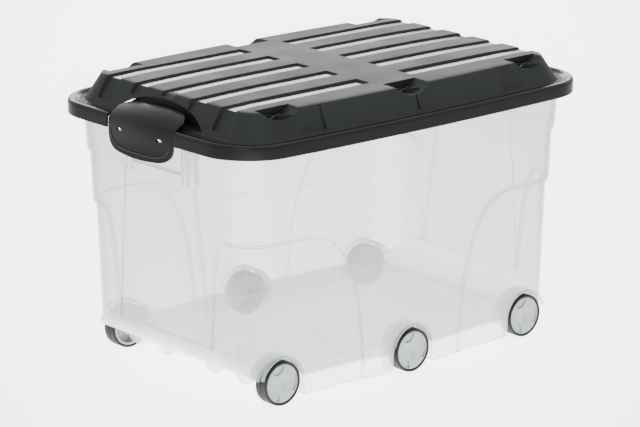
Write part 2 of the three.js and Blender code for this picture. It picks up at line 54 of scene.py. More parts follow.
# %% [markdown]
# ## The camera
# A long lens from well back keeps the long edges of the box nearly parallel, as in a catalogue picture. The
# direction is given by an azimuth and an elevation, so the camera needs no trial and error: one vector
# points back from the box, and `to_track_quat` turns the lens along it.

# %% Place the camera
TARGET = Vector((-7.85, -1.23, 173.8)) * MM
DISTANCE = 3.9308
AZIMUTH, ELEVATION = math.radians(-41.142), math.radians(15.786)
back = Vector(
    (
        math.sin(AZIMUTH) * math.cos(ELEVATION),
        -math.cos(AZIMUTH) * math.cos(ELEVATION),
        math.sin(ELEVATION),
    )
)
lens = bpy.data.cameras.new("camera")
lens.sensor_width = 36
lens.lens = 171.0
lens.clip_end = 60
camera = bpy.data.objects.new("camera", lens)
camera.location = TARGET + back * DISTANCE
camera.rotation_mode = "QUATERNION"
camera.rotation_quaternion = (-back).to_track_quat("-Z", "Y")
bpy.context.scene.collection.objects.link(camera)
bpy.context.scene.camera = camera
print("camera at", tuple(round(v, 3) for v in camera.location))

# %% [markdown]
# ## Outlines that bow outwards
# Moulded boxes are never true rectangles: the sides bow out a little so that they stay stiff and the tool
# lets go of them. Every level of the tub and the lid is a rounded rectangle with that bow, so one function
# makes them all. Lists of such rings are then skinned into solids, which is quicker and more exact than
# pulling a cube about by hand.

# %% Rings and skins
LONG_BOW, SHORT_BOW = 9.4, 2
CORNER_STEPS, LONG_STEPS, SHORT_STEPS = 14, 36, 16


def ring(outline, z, grow=0.0):
    x, y = outline["x"] + grow, outline["y"] + grow
    r = max(outline["r"] + grow, 2)
    points = []
    for quarter in range(4):
        sx = 1 if quarter in (0, 3) else -1
        sy = 1 if quarter < 2 else -1
        for i in range(CORNER_STEPS + 1):
            a = (quarter + i / CORNER_STEPS) * math.pi / 2
            points.append((sx * (x - r) + r * math.cos(a), sy * (y - r) + r * math.sin(a)))
        along_long = quarter % 2 == 0
        steps = LONG_STEPS if along_long else SHORT_STEPS
        start = points[-1]
        end = (-sx * (x - r), sy * y) if along_long else (sx * x, -sy * (y - r))
        for i in range(1, steps):
            t = i / steps
            points.append((start[0] + (end[0] - start[0]) * t, start[1] + (end[1] - start[1]) * t))
    bowed = []
    for px, py in points:
        near_long = min(1, abs(py) / (y - r / 2))
        near_short = min(1, abs(px) / (x - r / 2))
        bx = px + math.copysign(SHORT_BOW * (1 - (py / y) ** 2) * near_short, px)
        by = py + math.copysign(LONG_BOW * (1 - (px / x) ** 2) * near_long, py)
        bowed.append((bx, by, z))
    return bowed


def skin(name, loops, closed=False):
    """A solid through loops of points in millimetres, capped at both ends unless it closes on itself."""
    n = len(loops[0])
    mesh = bmesh.new()
    rows = [[mesh.verts.new(Vector(p) * MM) for p in loop] for loop in loops]
    pairs = list(zip(rows, rows[1:])) + ([(rows[-1], rows[0])] if closed else [])
    for low, high in pairs:
        for i in range(n):
            j = (i + 1) % n
            mesh.faces.new((low[i], low[j], high[j], high[i]))
    if not closed:
        mesh.faces.new(list(reversed(rows[0])))
        mesh.faces.new(rows[-1])
    bmesh.ops.recalc_face_normals(mesh, faces=mesh.faces)
    data = bpy.data.meshes.new(name)
    mesh.to_mesh(data)
    mesh.free()
    made = bpy.data.objects.new(name, data)
    bpy.context.scene.collection.objects.link(made)
    return made


# %% Straight extrusions
def prism(name, outline, axis, start, end):
    """An outline pushed along x, y or z, from start to end."""
    place = {
        "x": lambda u, v, w: (w, u, v),
        "y": lambda u, v, w: (u, w, v),
        "z": lambda u, v, w: (u, v, w),
    }[axis]
    return skin(name, [[place(u, v, w) for u, v in outline] for w in (start, end)])


def block(name, x0, x1, y0, y1, z0, z1):
    return prism(name, [(x0, y0), (x1, y0), (x1, y1), (x0, y1)], "z", z0, z1)


def arc(cx, cy, r, first, last, steps):
    turns = [first + (last - first) * i / steps for i in range(steps + 1)]
    return [(cx + r * math.cos(a), cy + r * math.sin(a)) for a in turns]


def disc(cx, cy, r, steps=64):
    return arc(cx, cy, r, 0, 2 * math.pi * (1 - 1 / steps), steps - 1)


def bend(p0, p1, p2, p3, steps=14):
    """A smooth curve from p0 to p3, pulled towards p1 and p2, without its first point."""
    points = []
    for i in range(1, steps + 1):
        t = i / steps
        weights = ((1 - t) ** 3, 3 * t * (1 - t) ** 2, 3 * t * t * (1 - t), t**3)
        points.append(tuple(sum(w * p[k] for w, p in zip(weights, (p0, p1, p2, p3))) for k in (0, 1)))
    return points


# %% [markdown]
# ## Cutting and joining
# Injection moulds are cut from solid steel, and the same logic works here: start from the full shape and
# take away tools. A Boolean modifier does it. The Manifold solver is fast and keeps closed solids closed,
# and the result is applied at once so that no modifier stays on the piece.

# %% Boolean helper
def shape(body, tool, operation):
    step = body.modifiers.new(operation.lower(), "BOOLEAN")
    step.operation = operation
    step.solver = "MANIFOLD"
    step.object = tool
    seen = bpy.context.evaluated_depsgraph_get()
    result = bpy.data.meshes.new_from_object(body.evaluated_get(seen))
    old = body.data
    body.modifiers.clear()
    body.data = result
    bpy.data.meshes.remove(old)
    spare = tool.data
    bpy.data.objects.remove(tool)
    bpy.data.meshes.remove(spare)
    return body


def cut(body, *tools):
    for tool in tools:
        shape(body, tool, "DIFFERENCE")
    return body


def join(body, *tools):
    for tool in tools:
        shape(body, tool, "UNION")
    return body


def common(body, *tools):
    for tool in tools:
        shape(body, tool, "INTERSECT")
    return body


# %% [markdown]
# ## Handing a piece over
# A finished piece gets smooth shading with its true edges kept sharp, rides on the body that carries it,
# and hides the plain measured node that it stands for. One function does all three, so no piece can be left
# behind.

# %% Finish a piece
def settle(piece, node, body, slot, *finishes, edge=32):
    piece.data.materials.clear()
    for finish in finishes:
        piece.data.materials.append(finish)
    for face in piece.data.polygons:
        face.use_smooth = True
        face.material_index = 0
    piece.data.set_sharp_from_angle(angle=math.radians(edge))
    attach(piece, body)
    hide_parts(node)
    print(piece.name, "faces:", len(piece.data.polygons))
    return piece


# %% [markdown]
# ## Colours and nodes
# Hex colours are written for screens, so they hold sRGB values. Shaders add light, which needs linear
# values, so one function turns each hex code into a linear colour. One more small function adds a node,
# sets its values and wires it up; every finish below is made from these two.

# %% Colour and node helpers
def linear(code, alpha=1.0):
    parts = [int(code[i : i + 2], 16) / 255 for i in (1, 3, 5)]
    return tuple(c / 12.92 if c <= 0.04045 else ((c + 0.055) / 1.055) ** 2.4 for c in parts) + (alpha,)


def node(tree, kind, values=None, links=None, **settings):
    made = tree.nodes.new(kind)
    for name, value in settings.items():
        setattr(made, name, value)
    for name, value in (values or {}).items():
        made.inputs[name].default_value = value
    for name, source in (links or {}).items():
        tree.links.new(source, made.inputs[name])
    return made


def new_finish(name):
    finish = bpy.data.materials.new(name)
    finish.use_nodes = True
    finish.node_tree.nodes.clear()
    return finish, finish.node_tree


# %% [markdown]
# ## Satin polypropylene for the lid
# The lid is anthracite polypropylene out of a spark-eroded mould. Polypropylene has an IOR of 1.49 and no
# metal in it. The eroded steel leaves a fine grain that turns reflections satin. The real grain is about
# 0.1 mm, too fine to see from here, so it is drawn at 0.8 mm. Roughness drifts slowly over 60 mm or so, as
# handling and cooling leave it. The Bevel node rounds the look of every edge by a mould radius of 0.7 mm.

# %% Lid finishes
GRAIN = 1 / (0.8 * MM)
DRIFT = 1 / (60 * MM)


def moulded_plastic(name, colour, pale, roughness, spread, grain, radius, gloss_level=0.5):
    finish, tree = new_finish(name)
    place = node(tree, "ShaderNodeTexCoord").outputs["Object"]
    drift = node(
        tree, "ShaderNodeTexNoise", {"Scale": DRIFT, "Detail": 3.0, "Roughness": 0.55}, {"Vector": place}
    ).outputs["Fac"]
    tint = node(
        tree,
        "ShaderNodeMix",
        {6: linear(colour), 7: linear(pale)},
        {"Factor": drift},
        data_type="RGBA",
    ).outputs[2]
    gloss = node(
        tree,
        "ShaderNodeMapRange",
        {"From Min": 0.3, "From Max": 0.7, "To Min": roughness - spread, "To Max": roughness + spread},
        {"Value": drift},
    ).outputs["Result"]
    speckle = node(
        tree, "ShaderNodeTexNoise", {"Scale": GRAIN, "Detail": 2.0, "Roughness": 0.6}, {"Vector": place}
    ).outputs["Fac"]
    rounded = node(tree, "ShaderNodeBevel", {"Radius": radius * MM}, samples=4).outputs["Normal"]
    bump = node(
        tree,
        "ShaderNodeBump",
        {"Strength": grain, "Distance": 0.05 * MM},
        {"Height": speckle, "Normal": rounded},
    ).outputs["Normal"]
    skin_shader = node(
        tree,
        "ShaderNodeBsdfPrincipled",
        {"IOR": 1.49, "Specular IOR Level": gloss_level},
        {"Base Color": tint, "Roughness": gloss, "Normal": bump},
    )
    node(tree, "ShaderNodeOutputMaterial", links={"Surface": skin_shader.outputs["BSDF"]})
    return finish


satin_lid = moulded_plastic(
    "polypropylene_satin_anthracite", "#1E2123", "#24282A", 0.46, 0.05, 0.35, 0.7, 0.32
)
# The groove floors get a lighter anthracite than the deck of the same moulding: painted light for their bright
# lines. Their lower roughness is the real polish.
polished_floor_painted_light = moulded_plastic(
    "polypropylene_polished_anthracite_painted_light", "#2A2D2F", "#303436", 0.2, 0.04, 0.05, 0.7, 0.8
)
# The rim gets a darker anthracite than the deck of the same moulding: painted shade for its upright face. Its
# lower roughness is the real gloss.
glossy_rim_painted_shade = moulded_plastic(
    "polypropylene_glossy_anthracite_painted_shade", "#0F1112", "#131516", 0.22, 0.03, 0.05, 0.9, 0.28
)
smooth_clip = moulded_plastic(
    "polypropylene_smooth_black", "#111314", "#161819", 0.34, 0.04, 0.1, 0.8, 0.28
)
print("lid finishes:", satin_lid.name, polished_floor_painted_light.name, glossy_rim_painted_shade.name, smooth_clip.name)

# %% [markdown]
# ## Frosted polypropylene for the tub
# The tub is natural polypropylene about 2 mm thick: not clear like glass, because its crystals scatter
# light, and milky where the wall is seen edge on. A fully refracting shader would be slow and too clear. A
# thin milky film is nearer: each face lets most light straight through and scatters the rest, and the Layer
# Weight node makes the film denser where it is seen at a slant, as a real wall is. Steps and rims trap
# light and read as thin grey lines, so painted shade is put there: the finish turns greyer and denser where
# the Bevel node finds an edge within 1.3 mm.

# %% Tub finish
CLOUD = 1 / (90 * MM)
EDGE_REACH = 1.3 * MM
EDGE_SHADE_DENSITY = 0.75


def frosted_plastic(name, colour, painted_shade_colour, facing, slanting, roughness):
    finish, tree = new_finish(name)
    place = node(tree, "ShaderNodeTexCoord").outputs["Object"]
    cloud = node(
        tree,
        "ShaderNodeTexNoise",
        {"Scale": CLOUD, "Detail": 3.0, "Roughness": 0.5},
        {"Vector": place},
    ).outputs["Fac"]
    slant = node(tree, "ShaderNodeLayerWeight", {"Blend": 0.36}).outputs["Facing"]
    density = node(
        tree, "ShaderNodeMapRange", {"To Min": facing, "To Max": slanting}, {"Value": slant}
    ).outputs["Result"]
    uneven = node(
        tree,
        "ShaderNodeMapRange",
        {"From Min": 0.3, "From Max": 0.7, "To Min": 0.92, "To Max": 1.08},
        {"Value": cloud},
    ).outputs["Result"]
    film_alpha = node(tree, "ShaderNodeMath", {}, {0: density, 1: uneven}, operation="MULTIPLY").outputs[0]
    rounded = node(tree, "ShaderNodeBevel", {"Radius": EDGE_REACH}, samples=4).outputs["Normal"]
    flat = node(tree, "ShaderNodeNewGeometry").outputs["Normal"]
    likeness = node(
        tree, "ShaderNodeVectorMath", {}, {0: rounded, 1: flat}, operation="DOT_PRODUCT"
    ).outputs["Value"]
    # Painted shade: near steps and rims, where the Bevel normal leaves the true normal, the colour turns grey
    # and the film denser.
    edge = node(
        tree, "ShaderNodeMapRange", {"From Min": 0.98, "From Max": 0.85}, {"Value": likeness}
    ).outputs["Result"]
    tint = node(
        tree,
        "ShaderNodeMix",
        {6: linear(colour), 7: linear(painted_shade_colour)},
        {"Factor": edge},
        data_type="RGBA",
    ).outputs[2]
    edge_shade_alpha = node(tree, "ShaderNodeMath", {1: EDGE_SHADE_DENSITY}, {0: edge}, operation="MULTIPLY").outputs[0]
    alpha = node(tree, "ShaderNodeMath", {}, {0: film_alpha, 1: edge_shade_alpha}, operation="MAXIMUM").outputs[0]
    grain = node(
        tree, "ShaderNodeTexNoise", {"Scale": GRAIN, "Detail": 2.0, "Roughness": 0.6}, {"Vector": place}
    ).outputs["Fac"]
    bump = node(
        tree, "ShaderNodeBump", {"Strength": 0.15, "Distance": 0.05 * MM}, {"Height": grain}
    ).outputs["Normal"]
    film = node(
        tree,
        "ShaderNodeBsdfPrincipled",
        {"IOR": 1.49, "Roughness": roughness},
        {"Base Color": tint, "Alpha": alpha, "Normal": bump},
    )
    node(tree, "ShaderNodeOutputMaterial", links={"Surface": film.outputs["BSDF"]})
    return finish


# The second colour, #666E70, is the painted shade along the tub's steps and rims.
frosted_tub = frosted_plastic("polypropylene_frosted_natural", "#DCE2E1", "#666E70", 0.15, 0.85, 0.28)

# %% [markdown]
# ## The lid's outer form
# The lid is one moulding: a glossy rounded rim, a channel just inside it, and a raised deck with sloping
# sides. Its deck is crowned by about 2 mm so that it doesn't look dished. Each of these is a level or two
# of rings, closely spaced where the real edge is rounded and far apart where the wall is straight.

# %% Lid levels
RIM = {"x": 297.5, "y": 192, "r": 67}
RIM_LOW, RIM_TOP, RIM_EDGE, RIM_SKIRT = 324.8, 342.5, 5, 2.6
CHANNEL = {"x": 283, "y": 179.5, "r": 56}
CHANNEL_Z = 339.6
PLATEAU_BASE = {"x": 270, "y": 171, "r": 36}
PLATEAU_TOP = {"x": 250, "y": 157, "r": 28}
DECK_EDGE, DECK_MIDDLE, CROWN_REACH = 372.7, 374.9, 130
LID_WALL = 2.6


def crown(inset):
    """Height of the deck at this distance in from its edge."""
    t = min(max(inset, 0), CROWN_REACH) / CROWN_REACH
    return DECK_EDGE + (DECK_MIDDLE - DECK_EDGE) * (1 - (1 - t) ** 2)


def rim_edge_levels():
    levels = []
    for i in range(9):
        a = i / 8 * math.pi / 2
        levels.append(
            ring(RIM, RIM_TOP - RIM_EDGE + RIM_EDGE * math.sin(a), -RIM_EDGE * (1 - math.cos(a)))
        )
    return levels


lid = skin(
    "lid_shell",
    [ring(RIM, RIM_LOW), ring(RIM, RIM_LOW + 1.2, 0)]
    + rim_edge_levels()
    + [
        ring(RIM, RIM_TOP, -RIM_EDGE - 4.5),
        ring(RIM, RIM_TOP - 0.8, -RIM_EDGE - 5.8),
        ring(CHANNEL, CHANNEL_Z),
        ring(PLATEAU_BASE, CHANNEL_Z, 1.2),
        ring(PLATEAU_BASE, CHANNEL_Z + 1.2, -0.3),
        ring(PLATEAU_TOP, DECK_EDGE - 1.6, 0.9),
        ring(PLATEAU_TOP, DECK_EDGE - 0.5, -0.2),
        ring(PLATEAU_TOP, DECK_EDGE, -1.6),
    ]
    + [ring(PLATEAU_TOP, crown(inset), -inset) for inset in (10, 30, 55, 85, CROWN_REACH)],
)
print("lid blank faces:", len(lid.data.polygons))

# %% [markdown]
# ## Grooves, wheel seats and clip bays
# Ten grooves run from near the middle of the deck to its ends and on down the end slopes. Six round seats
# in the deck's edge take the wheels of a box stacked on top, and an arched bay in each end slope holds a
# clip. Each is a cutting tool. The same tools, a wall thicker, shape the underside, so the lid keeps an
# even wall.

# %% Groove tool
GROOVE_PITCH, GROOVE_DEPTH, GROOVE_START, GROOVE_FLOOR_HALF = 56.5, 2.4, 34, 12.2
GROOVE_LOW = (367, 360.5, 347)
ROWS = [k * GROOVE_PITCH for k in (-2, -1, 0, 1, 2)]


def groove(sx, y, grow):
    low = GROOVE_LOW[round(abs(y) / GROOVE_PITCH)] - grow
    drop = GROOVE_DEPTH + grow
    stations = [(GROOVE_START - 1.5 - grow, 380.0)]
    for x in (GROOVE_START + 1.5 - grow, 60, 90, 120, 150, 180, 210, 235, 248.6 - 0.5 * drop):
        inset = min(250 - x, 157 - abs(y))
        stations.append((x, crown(inset) - drop))
    slope_x = 270 - 20 * (low - CHANNEL_Z) / (375 - CHANNEL_Z)
    stations += [(slope_x - 0.85 * drop, low), (285, low)]
    loops = []
    for x, floor in stations:
        half = GROOVE_FLOOR_HALF + grow
        wide = half + (385 - floor) * 0.28
        section = [(y - wide, 385), (y - half, floor), (y + half, floor), (y + wide, 385)]
        loops.append([(sx * x, across, height) for across, height in section])
    return skin("groove_tool", loops)


# %% Wheel seat and clip bay tools
WHEEL_X, SEAT_R, SEAT_LOW, SEAT_BACK = 208.6, 36, 361, 141
BAY_HALF, BAY_Z, BAY_TOP, BAY_BACK, BAY_FRONT = 85, 341.2, 364.5, 254, 275
SEATS = [(x, sy) for sy in SIDES for x in (-WHEEL_X, 0, WHEEL_X)]


def seat(x, sy, grow):
    ends = sorted((sy * (SEAT_BACK - grow), sy * 240))
    return prism("seat_tool", disc(x, SEAT_LOW + SEAT_R, SEAT_R + grow, 96), "y", *ends)


def bay(sx, grow):
    half, low, top = BAY_HALF + grow, BAY_Z - grow, BAY_TOP + grow
    arch = [(-half, low)] + bend((-half, low), (13 - half, low + 12), (-48, top), (0, top), 32)
    arch += bend((0, top), (48, top), (half - 13, low + 12), (half, low), 32)
    return prism("bay_tool", arch, "x", *sorted((sx * (BAY_BACK - grow), sx * BAY_FRONT)))


# %% Cut the top of the lid
for sx in SIDES:
    cut(lid, *[groove(sx, y, 0) for y in ROWS])
cut(lid, *[seat(x, sy, 0) for x, sy in SEATS])
cut(lid, *[bay(sx, 0) for sx in SIDES])
print("lid after the top cuts:", len(lid.data.polygons))

# %% [markdown]
# ## Breaks in the long slopes
# Beside each outer wheel seat the slope is scooped back a little and ends in a crisp upright step, and
# below each middle seat there is one narrow slot. They stiffen the wall. A wedge between two levels follows
# the slope's own lean and bow, so the depth of the scoop stays true from top to bottom.

# %% Slope breaks
def slope_y(x, z):
    t = (z - CHANNEL_Z) / (375 - CHANNEL_Z)
    half_x, half_y = 270 - 20 * t, 171 - 14 * t
    return half_y + LONG_BOW * (1 - (x / half_x) ** 2)


def scoop(sy, x_shallow, x_deep, depth, low, high):
    loops = []
    for z in (low, high):
        shallow, deep = slope_y(x_shallow, z), slope_y(x_deep, z)
        plan = [(x_shallow, shallow + 0.02), (x_deep, deep - depth)]
        plan += [(x_deep, deep + 20), (x_shallow, shallow + 20)]
        loops.append([(x, sy * y, z) for x, y in plan])
    return skin("scoop_tool", loops)


for sy in SIDES:
    for sx in SIDES:
        cut(lid, scoop(sy, sx * 184, sx * 150, 1.9, CHANNEL_Z + 4, 371.4))
    cut(lid, scoop(sy, -2.4, 2.4, 1.8, CHANNEL_Z + 4, 372))
print("lid after the slope breaks:", len(lid.data.polygons))

# %% [markdown]
# ## The lid's underside
# The underside repeats the top one wall further in. It is made as the hollow that has to be taken away, and
# the hollow is itself cut by the thicker groove, seat and bay tools, so the walls around them survive.

# %% Hollow out the lid
hollow = skin(
    "lid_hollow",
    [
        ring(RIM, RIM_LOW - 5, -RIM_SKIRT),
        ring(RIM, RIM_TOP - RIM_EDGE, -RIM_SKIRT),
        ring(RIM, RIM_TOP - LID_WALL, -RIM_EDGE - 0.5),
        ring(RIM, RIM_TOP - LID_WALL, -RIM_EDGE - 4),
        ring(CHANNEL, CHANNEL_Z - LID_WALL, 1),
        ring(PLATEAU_BASE, CHANNEL_Z - LID_WALL, -1),
        ring(PLATEAU_TOP, DECK_EDGE - LID_WALL, -LID_WALL),
    ],
)
for sx in SIDES:
    cut(hollow, *[groove(sx, y, LID_WALL) for y in ROWS])
cut(hollow, *[seat(x, sy, LID_WALL) for x, sy in SEATS])
cut(hollow, *[bay(sx, LID_WALL) for sx in SIDES])
cut(lid, hollow)
print("lid after hollowing:", len(lid.data.polygons))

# %% [markdown]
# ## Hinge lugs and rim gaps
# Each clip hangs through a gap in the rim and turns on a pin held by two small lugs on the floor of the
# bay. The lugs are rounded at the top about the pin and drilled with a hole a little larger than the pin.

# %% Lugs, pin holes and rim gaps
HINGE_X, HINGE_Z, LUG_R, LUG_WIDTH, BARREL_HALF, PIN_R, GAP = 261.5, 350, 4.2, 5, 30, 1.6, 0.3
for sx in SIDES:
    gap_ends = sorted((sx * 286.5, sx * 306.5))
    cut(lid, block("rim_gap", *gap_ends, -66, 66, RIM_LOW - 5, RIM_TOP + 5))
    for sy in SIDES:
        lug = [(sx * HINGE_X - LUG_R, BAY_Z - 1), (sx * HINGE_X + LUG_R, BAY_Z - 1)]
        lug += arc(sx * HINGE_X, HINGE_Z, LUG_R, 0, math.pi, 20)
        first = BARREL_HALF + GAP + 0.4
        join(lid, prism("lug", lug, "y", *sorted((sy * first, sy * (first + LUG_WIDTH)))))
    cut(lid, prism("pin_hole", disc(sx * HINGE_X, HINGE_Z, PIN_R + GAP, 32), "y", -50, 50))

# %% [markdown]
# ## Ribs in the wheel seats
# Two thin crossing ribs stiffen the wall of every seat. They are kept inside the seat and inside the lid's
# own outline, so a wheel still drops in on top of them.

# %% Crossed ribs
def seat_rib(x, sy, lean):
    centre_y = sy * 152
    dx, dy = 17 * lean, 9
    length = math.hypot(dx, dy)
    nx, ny = 0.8 * dy / length, -0.8 * dx / length
    plan = [
        (x - dx + nx, centre_y - dy + ny),
        (x + dx + nx, centre_y + dy + ny),
        (x + dx - nx, centre_y + dy - ny),
        (x - dx - nx, centre_y - dy - ny),
    ]
    return prism("seat_rib", plan, "z", 359.6, 366.2)


def slope_core(offset):
    return skin(
        "slope_core",
        [ring(PLATEAU_BASE, CHANNEL_Z - 1, -offset), ring(PLATEAU_TOP, DECK_EDGE, -offset)],
    )


for x, sy in SEATS:
    for lean in SIDES:
        join(lid, common(seat_rib(x, sy, lean), slope_core(1.2)))
print("lid with its ribs:", len(lid.data.polygons))

# %% Give the groove floors and the rim their polish, with painted light on the floors and painted shade on the rim
def on_groove_floor(centre, normal):
    across = min(abs(centre.y / MM - row) for row in ROWS)
    level = 0.366 < centre.z < 0.3726 and normal.z > 0.97
    return level and across < 12.3 and GROOVE_START * MM < abs(centre.x) < 0.249


def inside(outline, x, y):
    """Whether a point lies within an outline: a line from it then crosses the outline an odd number of times."""
    crossed = False
    for (xa, ya, _), (xb, yb, _) in zip(outline, outline[1:] + outline[:1]):
        if (ya > y) != (yb > y) and x < xa + (xb - xa) * (y - ya) / (yb - ya):
            crossed = not crossed
    return crossed


settle(lid, "lid", "lid", "lid_grey", satin_lid, polished_floor_painted_light, glossy_rim_painted_shade)
rim_starts = ring(CHANNEL, CHANNEL_Z, 1.5)
for face in lid.data.polygons:
    on_rim = not inside(rim_starts, face.center.x / MM, face.center.y / MM)
    face.material_index = 2 if on_rim else 1 if on_groove_floor(face.center, face.normal) else 0
counts = [sum(face.material_index == i for face in lid.data.polygons) for i in range(3)]
print("satin, polished and rim faces:", counts)

# %% [markdown]
# ## The end clips
# A clip is one springy plate: it starts at a hinge barrel, lies over the rim and turns down into a finger
# lip. Its section is drawn once and swept along the clip's width. It bulges outwards and arches up in the
# middle. Two more outlines, one seen from above and one from the end, trim the sweep to its rounded shape.

# %% Clip section and sweep
CLIP_HALF, CLIP_LOW, CLIP_SIDE, CLIP_BULGE, CLIP_ARCH = 63.5, 298, 322, 4.4, 5
CLIP_OUTER = [
    (256.5, 354), (259, 356.2), (263, 357.9), (268, 358.4), (274, 357.5), (281, 355), (288, 351),
    (293, 346.4), (296, 341), (297.4, 334), (297.8, 326), (298, 312), (299.6, 302), (301.4, 297),
]
CLIP_INNER = [
    (299, 296.4), (296.8, 302), (295.2, 312), (295, 326), (294.6, 333.4), (293.4, 339.4), (291, 343.6),
    (286.6, 347.8), (280, 351.6), (273.4, 354), (268, 354.8), (263.4, 354.4), (260, 352.8), (256.5, 350.6),
]


def rounded_path(points, steps=4):
    """The same path with extra points on a smooth curve through the given ones."""
    ends = [points[0], *points, points[-1]]
    made = [points[0]]
    for a, b, c, d in zip(ends, ends[1:], ends[2:], ends[3:]):
        for i in range(1, steps + 1):
            t = i / steps
            made.append(
                tuple(
                    0.5 * (2 * b[k] + (c[k] - a[k]) * t + (2 * a[k] - 5 * b[k] + 4 * c[k] - d[k]) * t * t
                           + (3 * b[k] - a[k] - 3 * c[k] + d[k]) * t**3)
                    for k in (0, 1)
                )
            )
    return made


def shaped(x, y, z):
    """Where a point of the flat section goes: outwards in the clip's middle, downwards at its sides."""
    across = (y / (CLIP_HALF + 4)) ** 2
    outwards = min(1, max(0, (x - 262) / 34))
    upwards = min(1, max(0, (z - 330) / 20))
    return x + CLIP_BULGE * outwards * (1 - across), z - CLIP_ARCH * upwards * across


def clip_blank(sx):
    section = rounded_path(CLIP_OUTER) + rounded_path(CLIP_INNER)
    loops = []
    for i in range(49):
        y = (CLIP_HALF + 4) * (i / 24 - 1)
        placed = [shaped(x, y, z) for x, z in section]
        loops.append([(sx * x, y, z) for x, z in placed])
    return skin("clip_blank", loops)


# %% Clip trims
def clip_plan(sx):
    ys = [CLIP_HALF * (i / 24 - 1) for i in range(49)]
    edge = [(sx * (256.5 + 24 * abs(y / CLIP_HALF) ** 3), y) for y in ys]
    return prism("clip_plan", [(sx * 330, -CLIP_HALF), *edge, (sx * 330, CLIP_HALF)], "z", 280, 380)


def clip_front(sx):
    h, low, turn = CLIP_HALF, CLIP_LOW, 0.63 * CLIP_HALF

    def quadratic(a, b, c):
        near = tuple(a[k] + (b[k] - a[k]) * 2 / 3 for k in (0, 1))
        far = tuple(c[k] + (b[k] - c[k]) * 2 / 3 for k in (0, 1))
        return bend(a, near, far, c)

    path = [(-h, 380), (-h, CLIP_SIDE)]
    path += quadratic((-h, CLIP_SIDE), (-h, low + 5), (-turn, low + 2))
    path += quadratic((-turn, low + 2), (0, low - 2), (turn, low + 2))
    path += quadratic((turn, low + 2), (h, low + 5), (h, CLIP_SIDE))
    path.append((h, 380))
    return prism("clip_front", path, "x", *sorted((sx * 230, sx * 330)))


# %% [markdown]
# A low bead follows the lip, 6 mm in from its edge, and two small oval slots sit above it. The bead is a
# thin round cord half sunk in the face: each of its points is read off the clip's own section, so it hugs
# the bulge.

# %% Lip bead and slots
SLOT_Y, SLOT_Z = 39.5, 327.3


def face_x(y, z):
    outer = CLIP_OUTER[8:]
    for (xa, za), (xb, zb) in zip(outer, outer[1:]):
        if za >= z >= zb:
            return shaped(xa + (xb - xa) * (za - z) / (za - zb), y, z)[0]
    return shaped(*outer[-1][:1], y, z)[0]


def lip_bead(sx):
    h, low = CLIP_HALF - 6, CLIP_LOW + 6.5
    path = [(-h, CLIP_SIDE + 4)]
    path += bend((-h, CLIP_SIDE + 4), (-h, low + 9), (-h + 7, low + 3), (-30, low + 0.6))
    path += bend((-30, low + 0.6), (-12, low - 0.2), (12, low - 0.2), (30, low + 0.6), 8)
    path += bend((30, low + 0.6), (h - 7, low + 3), (h, low + 9), (h, CLIP_SIDE + 4))
    loops = []
    for i, (y, z) in enumerate(path):
        ya, za = path[max(i - 1, 0)]
        yb, zb = path[min(i + 1, len(path) - 1)]
        length = math.hypot(yb - ya, zb - za)
        ny, nz = -(zb - za) / length, (yb - ya) / length
        x = face_x(y, z) - 0.15
        loops.append(
            [
                (sx * (x + 0.8 * math.cos(a)), y + ny * math.sin(a), z + nz * math.sin(a))
                for a in (2 * math.pi * k / 10 for k in range(10))
            ]
        )
    return skin("lip_bead", loops)


def clip_slot(sx, sy):
    turns = [2 * math.pi * k / 32 for k in range(32)]
    oval = [(sy * SLOT_Y + 5 * math.cos(a), SLOT_Z + 2.1 * math.sin(a)) for a in turns]
    return prism("clip_slot", oval, "x", *sorted((sx * 290, sx * 306)))


# %% Make both clips
for sx, end in ((-1, "left"), (1, "right")):
    clip = common(clip_blank(sx), clip_plan(sx), clip_front(sx))
    clip.name = f"clip_plate_{end}"
    for sy in SIDES:
        room = sorted((sy * BARREL_HALF, sy * (BARREL_HALF + LUG_WIDTH + 2 * GAP + 1)))
        cut(clip, prism("lug_room", disc(sx * HINGE_X, HINGE_Z, LUG_R + 0.8, 48), "y", *room))
    join(clip, prism("barrel", disc(sx * HINGE_X, HINGE_Z, 3.9, 48), "y", -BARREL_HALF, BARREL_HALF))
    cut(clip, prism("pin_bore", disc(sx * HINGE_X, HINGE_Z, PIN_R + GAP, 32), "y", -50, 50))
    cut(clip, clip_slot(sx, -1), clip_slot(sx, 1))
    join(clip, lip_bead(sx))
    settle(clip, f"clip_{end}", f"clip_{end}", "clip_grey", smooth_clip)

# %% [markdown]
# ## The tub's shell
# The tub tapers down evenly, has a wider band at the top with a small step under it, and ends in a flat
# flange with a turned-down lip that carries the lid. Inside, a second skin one wall further in is taken
# away. Its four corners and the middle of both ends are set back a little under arches, as a moulder does
# for stiffness.

# %% Tub levels
WALL_LOW = {"z": 47, "x": 263, "y": 162.5, "r": 42}
WALL_HIGH = {"z": 275, "x": 269.5, "y": 166.7, "r": 40}
BAND_LOW = {"x": 272, "y": 169.2, "r": 40}
BAND_HIGH = {"x": 275.5, "y": 172.5, "r": 42}
FLANGE = {"x": 291, "y": 186, "r": 62}
BAND_Z, BAND_TOP, FLANGE_TOP, LIP_LOW, LIP = 275, 334, 336.4, 328, 2.2
TUB_WALL, SKIRT_LOW, FLOOR_Z, FLOOR_THICK = 2.2, 8, 31, 2.4
CORNER_RECESS, PANEL_RECESS = 3.4, 1.6
FAR = 420


def wall_at(z):
    t = (z - WALL_LOW["z"]) / (WALL_HIGH["z"] - WALL_LOW["z"])
    wall = {k: WALL_LOW[k] + (WALL_HIGH[k] - WALL_LOW[k]) * t for k in ("x", "y")}
    wall["r"] = 42
    return wall


def wall_body(grow, low=-20, high=420):
    return skin("wall_body", [ring(wall_at(low), low, grow), ring(wall_at(high), high, grow)])


